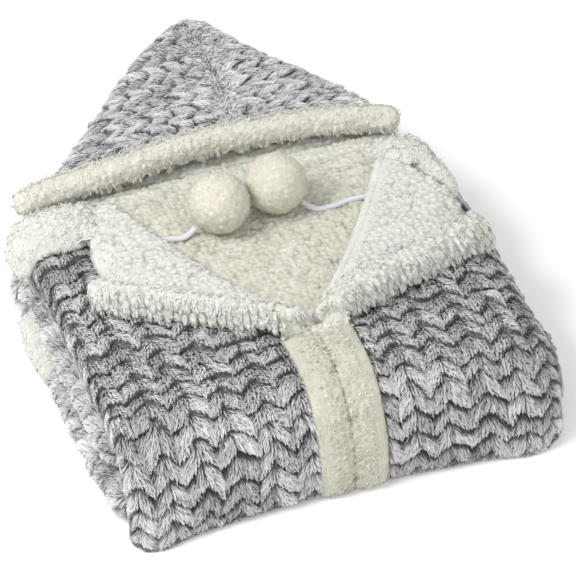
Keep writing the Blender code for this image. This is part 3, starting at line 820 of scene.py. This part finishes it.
def sherpa(name, node, seed, flat=None, voxel=2.4, density=0.6, size=7.4, relief=4.2,
           smooth_at=even(0.0), comb_at=even(0.0), tuft=4.2, brush=(0.05, -1.0, -0.6), tone=even(0.0),
           rounds=6, seen=even(True), source=None, covers=(), material=ivory):
    """Shell and curly pile of one sherpa piece, worked from its solid or from the mesh in source.

    smooth_at(points, normals) is 1 where the pile is brushed flat and comb_at where it hangs in long
    tufts, tuft mm long, both along brush; elsewhere it is small round curls. tone(points) lightens or
    darkens it. seen(points, normals) tells which part shows: the rest isn't made. covers are the strips
    of pile over its seams; they are gathered with the pile, but nothing more is done with them."""
    brush = np.array(brush, float)
    points, normals, triangles = source or remeshed(node, voxel, rounds)
    points, normals, triangles = part_of(points, normals, triangles, seen(points, normals)[triangles].any(1))

    def shares(at, facing):
        light = tone(at) + 0.07 * wave(at[:, 0], at[:, 1] + at[:, 2], 46.0, seed)
        return smooth_at(at, facing), comb_at(at, facing), light

    def curls(at, facing):
        """The curl's heart on the cloth, its key, and how high the pile stands here."""
        _, key, centre = clusters(at, size, CURL_SEED)
        heart = centre - facing * ((centre - at) * facing).sum(1)[:, None]
        return heart, key, dome(np.linalg.norm(at - heart, axis=1) / size)

    _, key, height = curls(points, normals)
    smooth, combed, light = shares(points, normals)
    height = height * (0.7 + 0.5 * key) * (1 - 0.8 * np.maximum(smooth, combed))
    resting = step(0.0, 3.0, points[:, 2])
    outer = points + normals * ((-CURL_FOOT + relief * height + CURL_FOOT * smooth) * resting)[:, None]
    outer[:, 2] = np.maximum(outer[:, 2], 0.0)
    # Painted shade: the shell is darker in the cracks between curls; brushed places are lighter, and light
    # adds each piece's tone, painted light or shade on some, and soft waves.
    mesh = mesh_of(name, outer, triangles, np.clip(0.30 + 0.45 * height + 0.3 * smooth + light, 0, 1))
    shell = add_piece(name, mesh, material)
    if node:
        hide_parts(node)

    root, normal, random = scattered(points, normals, triangles, density, seed)
    keep = (normal[:, 2] > -0.5) & (root[:, 2] > 2.0)
    root, normal = root[keep], normal[keep]
    count = len(root)
    heart, key, tall = curls(root, normal)
    smooth, combed, light = shares(root, normal)
    pick = random.random(count)
    hangs = (pick < combed)[:, None]
    lies = (~hangs[:, 0] & (pick < combed + smooth * (1 - combed)))[:, None]
    out = root - heart
    reach = np.linalg.norm(out, axis=1, keepdims=True)
    out = out * np.maximum(reach, 0.3 * size) / np.maximum(reach, 0.01)
    round_way = np.cross(normal, out)
    turn = (0.8 + 0.9 * random.random(count)) * np.where(key < 0.5, -1.0, 1.0)
    lean = np.stack([chance(key * 31.0, np.full(count, a)) - 0.5 for a in (1.0, 2.0, 3.0)], 1)
    along_cloth = brush - normal * (normal @ brush)[:, None]
    along_cloth = unit(along_cloth + 0.25 * (random.random((count, 3)) - 0.5) + 0.7 * lean * hangs)
    length = np.where(hangs[:, 0], tuft + 0.7 * tuft * key, LAID_LENGTH) * (0.8 + 0.4 * random.random(count))
    spots, ways = [], []
    for share, shrink, extra in ((0.0, 1.0, -0.8), (0.5, 0.85, 0.3), (1.0, 0.5, 0.6)):
        angle = (turn * share * 1.6)[:, None]
        off = (out * np.cos(angle) + round_way * np.sin(angle)) * shrink
        rise = dome(np.linalg.norm(off, axis=1) / size) * (0.7 + 0.5 * key)
        curl = heart + off + normal * (-CURL_FOOT + relief * rise + extra)[:, None]
        laid = root + along_cloth * (length * share)[:, None] + normal * (0.5 + extra)
        lock = laid + (heart - root) * (0.55 * share) + normal * ((share > 0) * (1.0 + 1.6 * key))[:, None]
        spots.append(np.where(hangs, lock, np.where(lies, laid, curl)))
        round_face = unit(normal + 0.95 * off / (CURL_REACH * size))
        lock_face = unit(normal + 0.8 * out / (CURL_REACH * size))
        ways.append(np.where(hangs, lock_face, np.where(lies, normal, round_face)))
    tall = np.where(lies[:, 0], 0.75, tall)
    lit = light + 0.06 * (random.random(count) - 0.5) + 0.14 * (key - 0.5)
    # Painted shade: each strand is darker low on its curl and in the cracks between curls; lit adds tone and
    # chance.
    shade = (
        np.clip(0.26 + 0.40 * tall + lit, 0, 1),
        np.clip(0.40 + 0.50 * tall + lit, 0, 1),
        np.clip(0.58 + 0.40 * tall + lit, 0, 1),
    )
    width = (1.0 + 0.5 * random.random(count)) * np.where(hangs[:, 0], 0.7, 1.0)
    pile = blades(name + "_pile", spots, tuple(ways), width, shade, material, 0.9, 0.7)
    if flat:
        with_it = [pile, *(piece for cover in covers for piece in cover)]
    return shell, pile


def cad_tree(*nodes):
    """The nodes' solids together, in the stack's frame, to measure their height."""
    points, triangles = [], []
    for node in nodes:
        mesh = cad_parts[node].data
        mesh.calc_loop_triangles()
        first = len(points)
        points.extend(Vector(np.array(vertex.co) / MM - SHIFT) for vertex in mesh.vertices)
        triangles.extend(tuple(first + i for i in triangle.vertices) for triangle in mesh.loop_triangles)
    return BVHTree.FromPolygons(points, triangles)


# The strips over seams: the net's spacing, their width beside the groove and how deep their borders sink
STRIP_SPACING, STRIP_BORDER, STRIP_SINK = 2.0, 3.0, 4.5
RAYS_FROM = 400.0


def strip_over(tree, line, groove):
    """A net over the groove between two solids, along a line in plan: it spans the groove, which is
    groove mm wide on each side of the line."""
    half_width = groove + STRIP_BORDER
    line = np.array(line, float)
    length = np.linalg.norm(np.diff(line, axis=0), axis=1).sum()
    count = int(length / STRIP_SPACING)
    middle = along(line, np.linspace(0, 1, count))
    ahead = np.gradient(middle, axis=0)
    across = unit(np.stack([-ahead[:, 1], ahead[:, 0]], 1))
    offsets = np.linspace(-half_width, half_width, int(2 * half_width / STRIP_SPACING) + 1)

    def height(at):
        hits = [tree.ray_cast(Vector((x, y, RAYS_FROM)), Vector((0, 0, -1)))[0] for x, y in at]
        return np.array([np.nan if hit is None else hit.z for hit in hits])

    left, right = height(middle - across * groove), height(middle + across * groove)
    left, right = np.where(np.isnan(left), right, left), np.where(np.isnan(right), left, right)
    left, right = np.nan_to_num(left, nan=TOP), np.nan_to_num(right, nan=TOP)
    rows = []
    for u in offsets:
        place = middle + across * u
        ground = np.nan_to_num(height(place), nan=0.0)
        share = np.clip((u + groove) / (2 * groove), 0, 1)
        z = np.maximum(ground, left * (1 - share) + right * share)
        rows.append(np.column_stack([place, z - STRIP_SINK * np.abs(u / half_width) ** 5]))
    points = np.stack(rows, 1).reshape(-1, 3)
    triangles = grid_triangles(count, len(offsets))
    a, b, c = (points[triangles[:, k]] for k in range(3))
    faces = np.cross(b - a, c - a)
    if faces[:, 2].sum() < 0:
        triangles, faces = triangles[:, ::-1], -faces
    normals = np.zeros_like(points)
    for k in range(3):
        np.add.at(normals, triangles[:, k], faces)
    return points, unit(normals), triangles


# The pieces

camera()
surroundings()

cord("drawcord_end_left", CORD_LEFT, "drawcord_left", pompom("pompom_yarn_left", "pompom_left", 3.0))
cord("drawcord_end_right", CORD_RIGHT, "drawcord_right", pompom("pompom_yarn_right", "pompom_right", 7.0))


def neckline_left(x):
    """y where the left front's plush ends at the lapel."""
    return np.interp(x, (-170, -140, BAND_LEFT_X), (392, 345, 155))


def neckline_right(x):
    return np.interp(x, (BAND_RIGHT_X, 160, 190), (155, 345, 392))


LEFT_TURN, RIGHT_TURN = math.radians(150) * LEFT_ROLL, math.radians(96) * RIGHT_ROLL
BACK_EDGE = 480.0
# The way in (p, q) that the V's point
TO_FLOOR, FROM_SEAM = (0.0, -1.0), (1.0, 0.10)


def foot(p, q):
    """1 where the pile meets the floor."""
    return step(13.0, 5.0, q)


def front_face(p, q):
    """1 on the upright front of the fold."""
    return step(115.0, 60.0, q)


def hood_free(p, q):
    """The pile stands every way along the hood's seam and at its point."""
    seam = 7.0 + 6.0 * wave(p, q, 40.0, 2.0)
    return np.maximum(0.75 * step(seam + 6.0, seam - 5.0, p), 0.7 * step(290.0, 318.0, q))


plush(
    "plush_front_left", "front_left", stack,
    lambda p, q: q < q_at(p, neckline_left(p)),
    (LEFT_EDGE - LEFT_TURN, BAND_LEFT_X - 0.4), (0.5, BACK_EDGE), 0.67, TO_FLOOR, (36.0, 23.0, 15.5), 11.0,
    material=grey, wild=0.85, free_at=foot, hung_shade_at=front_face,
)
plush(
    "plush_front_right", "front_right", stack,
    lambda p, q: q < q_at(p, neckline_right(p)),
    (BAND_RIGHT_X + 0.4, RIGHT_EDGE + RIGHT_TURN), (0.5, BACK_EDGE), 0.67, TO_FLOOR, (36.0, 23.0, 16.0), 23.0,
    material=grey, wild=0.85, free_at=foot, hung_shade_at=front_face,
)
for side, name in ((-1, "hood_left"), (1, "hood_right")):
    plush(
        "plush_" + name, name, hood_half(side),
        lambda p, q, side=side: p < hood_width(side, q / HOOD_LENGTH) + 6.0,
        (-1.0, 225.0), (-1.0, HOOD_LENGTH + HOOD_PAST), 0.69, FROM_SEAM, (41.0, 25.0, 18.0), 31.0 + side,
        material=grey_painted_light, wild=1.1, free_at=hood_free,
    )

# How the sherpa lies: brushed along edges, in tufts where it hangs over, curly elsewhere


def band_margin(at, facing):
    """1 along the smooth outer edges of the two front bands."""
    left = step(BAND_LEFT_X + 15.0, BAND_LEFT_X + 10.0, at[:, 0])
    right = step(BAND_RIGHT_X - 15.0, BAND_RIGHT_X - 10.0, at[:, 0])
    return np.maximum(0.4, np.maximum(left, right))


def hanging(at, facing):
    """1 where a lapel's edge faces the front and hangs down."""
    return 0.62 * step(0.1, 0.5, -0.85 * facing[:, 1] - 0.5 * facing[:, 2] + 0.45)


def left_border(at, facing):
    return step(-148.0, -157.0, at[:, 0] + 0.12 * (at[:, 1] - 270.0))


def right_border(at, facing):
    """1 along the right lapel's folded edge."""
    fold = np.interp(at[:, 1], (159, 233, 303, 350), (24, 80, 126, 152))
    return step(24.0, 10.0, at[:, 0] - fold)


def roll_top(at, facing):
    """Higher on top of the hood's rim, where its pile is brushed flat."""
    return 0.66 + 0.30 * step(0.3, 0.8, facing[:, 2] * 0.8 + facing[:, 1] * 0.6)


def back_tone(at):
    """Greyer where the lining is matted, and in the fine ripples at the right; painted shade darkens it
    a little all over, and painted light lightens it next to the rim, where the rim shades it.
    """
    rippled = step(40.0, 90.0, at[:, 0]) * step(310.0, 350.0, at[:, 1])
    ripple = wave(at[:, 0] / 5.0, at[:, 1], 9.0, 4.0) * rippled
    matted = 0.16 * wave(at[:, 0], at[:, 1], 13.0, 6.0) + 0.10 * wave(at[:, 0], at[:, 1], 37.0, 8.0)
    # The -0.08 is painted shade and the last term painted light by the rim.
    return -0.08 + matted - 0.16 * ripple + 0.25 * step(372.0, 392.0, at[:, 1])


def seam_tone(at):
    """Painted light: lighter where the pile turns down over the tops of the bands, on a slope that faces
    down to the front and gets less light.
    """
    return 0.05 + 0.25 * step(155.0, 145.0, at[:, 1])


def rim_edge(at, facing):
    """1 along the rim's lower front, where its pile hangs over the hood's mouth."""
    return 0.6 * step(0.40, 0.85, -0.6 * facing[:, 1] - 0.8 * facing[:, 2])


def on_top(at, facing):
    return facing[:, 2] > -0.3


DOWN_FRONT, DOWN_RIGHT, TO_BACK_LEFT = (0.0, -0.75, -0.65), (0.35, -0.75, -0.6), (-0.8, 0.5, -0.1)
LINED = cad_tree("lapel_left", "lapel_right", "back_lining", "lapel_band_left", "lapel_band_right",
                 "band_left", "band_right", "neck_left", "neck_right")
# Each seam between two sherpa solids that pile hides: its line in plan, and half the groove's width
COVER_LINES = {
    "lapel_left_outer": (((-14, 156), (-70, 189), (-160, 262)), 7.0),
    "lapel_left_fold": (((-9, 161), (-43, 207), (-89, 301), (-119, 375)), 8.0),
    "lapel_right_outer": (((26, 158), (98, 196), (150, 222), (205, 246)), 8.0),
    "lapel_right_fold": (((24, 160), (80, 233), (126, 303), (156, 355)), 5.5),
    "lapel_right_back": (((158, 392), (168, 362), (184, 330)), 7.0),
    "bands_top": (((-29, 141), (-6, 140), (22, 138), (38, 139)), 9.0),
    "neck_left": (((-145, 382), (-153, 355), (-162, 326)), 7.0),
}
covers = {}
for seed, (key, (line, groove)) in enumerate(COVER_LINES.items(), start=70):
    covers[key] = sherpa(
        "sherpa_seam_" + key, None, seed, source=strip_over(LINED, line, groove), density=0.8,
        smooth_at=even(1.0 if key.endswith("fold") else 0.4), brush=TO_BACK_LEFT,
        # Painted light on the left fold's strip, whose slope faces away from the key light; the others take
        # seam_tone.
        tone=even(0.30) if key == "lapel_left_fold" else seam_tone,
        material=ivory_warm if key == "bands_top" else ivory,
    )

sherpa(
    "sherpa_band_left", "band_left", 41, flat=(0.036, 0.245), smooth_at=band_margin,
    material=ivory_warm, tone=even(-0.20),
)
sherpa(
    "sherpa_band_right", "band_right", 42, flat=(0.036, 0.245), smooth_at=band_margin,
    material=ivory_warm, tone=even(-0.20), covers=[covers["bands_top"]],
)
sherpa(
    "sherpa_back_lining", "back_lining", 43, flat=(0.36, 0.25), size=6.4, relief=3.4,
    density=0.42, seen=on_top, material=ivory_warm, tone=back_tone, covers=[covers["lapel_right_back"]],
)
sherpa(
    "sherpa_lapel_band_left", "lapel_band_left", 44, flat=(0.045, 0.225), comb_at=hanging,
    brush=DOWN_FRONT, density=1.0,
)
sherpa(
    "sherpa_lapel_band_right", "lapel_band_right", 45, flat=(0.05, 0.235), comb_at=hanging,
    brush=DOWN_RIGHT, density=1.0,
)
sherpa(
    "sherpa_lapel_left", "lapel_left", 46, flat=(0.15, 0.22), smooth_at=left_border, seen=on_top,
    covers=[covers["lapel_left_outer"], covers["lapel_left_fold"], covers["neck_left"]],
)
sherpa(
    "sherpa_lapel_right", "lapel_right", 47, flat=(0.15, 0.22), smooth_at=right_border,
    seen=on_top, brush=TO_BACK_LEFT, covers=[covers["lapel_right_outer"], covers["lapel_right_fold"]],
)
sherpa("sherpa_neck_left", "neck_left", 48, flat=(0.08, 0.10), smooth_at=even(0.6), size=8.0)
sherpa("sherpa_neck_right", "neck_right", 49, flat=(0.045, 0.10), smooth_at=even(0.6), size=8.0)
sherpa("sherpa_cuff_left", "cuff_left", 50, flat=(0.09, 0.085), smooth_at=even(0.6), brush=(0.0, 0.2, -1.0))
sherpa(
    "sherpa_hood_rim", "hood_rim", 51, flat=(0.046, 0.425), rounds=4, smooth_at=roll_top, comb_at=rim_edge,
    tuft=4.4, brush=(0.1, -0.6, -0.8), voxel=2.6, density=0.85, material=ivory_warm, tone=even(0.08),
)
# The hood's lining is lightened by painted light, where the rim shades the hood's mouth.
sherpa(
    "sherpa_hood_lining", "hood_lining", 52, flat=(0.33, 0.06), voxel=4.0, density=0.35, tone=even(0.32),
    seen=lambda at, n: (at[:, 1] < 450.0) & (n[:, 2] > -0.5), material=ivory_warm,
)

DOWN, FRONT = (0.0, 0.25, -1.0), (0.0, 1.0, 0.25)
STRAIGHT_DOWN, BACK, RIGHT = (0.0, 0.0, -1.0), (0.0, 1.0, 0.0), (1.0, 0.0, 0.0)
# The left side takes the lighter grey, painted light for the key light on the left.
for name, seed, flat in (
    ("sleeve_left", 61, (0.055, 0.20)),
    ("side_left", 62, (0.04, 0.25)),
    ("hem_left", 63, (0.05, 0.095)),
):
    plush_round(
        "plush_" + name, name, seed, 0.75, DOWN, FRONT, flat, material=grey_painted_light,
        seen=lambda at, n: n[:, 0] < 0.4,
    )
plush_round(
    "plush_sleeve_right", "sleeve_right", 64, 0.42, DOWN, FRONT, (0.085, 0.35), material=grey, voxel=4.0,
    seen=lambda at, n: n[:, 0] > -0.2,
)
plush_round(
    "plush_folded_layers", "body_stack", 65, 0.19, STRAIGHT_DOWN, RIGHT, (0.38, 0.16), material=grey,
    voxel=5.0, seen=lambda at, n: (n[:, 1] > 0.1) & (at[:, 1] > 385.0),
    cut=lambda at, n: (at[:, 1] > 365.0) & (n[:, 2] > -0.9),
)
plush_round(
    "plush_hood_under", "hood_under", 66, 0.2, BACK, RIGHT, (0.34, 0.32), material=grey, voxel=7.0,
    seen=lambda at, n: n[:, 2] < 0.5,
)
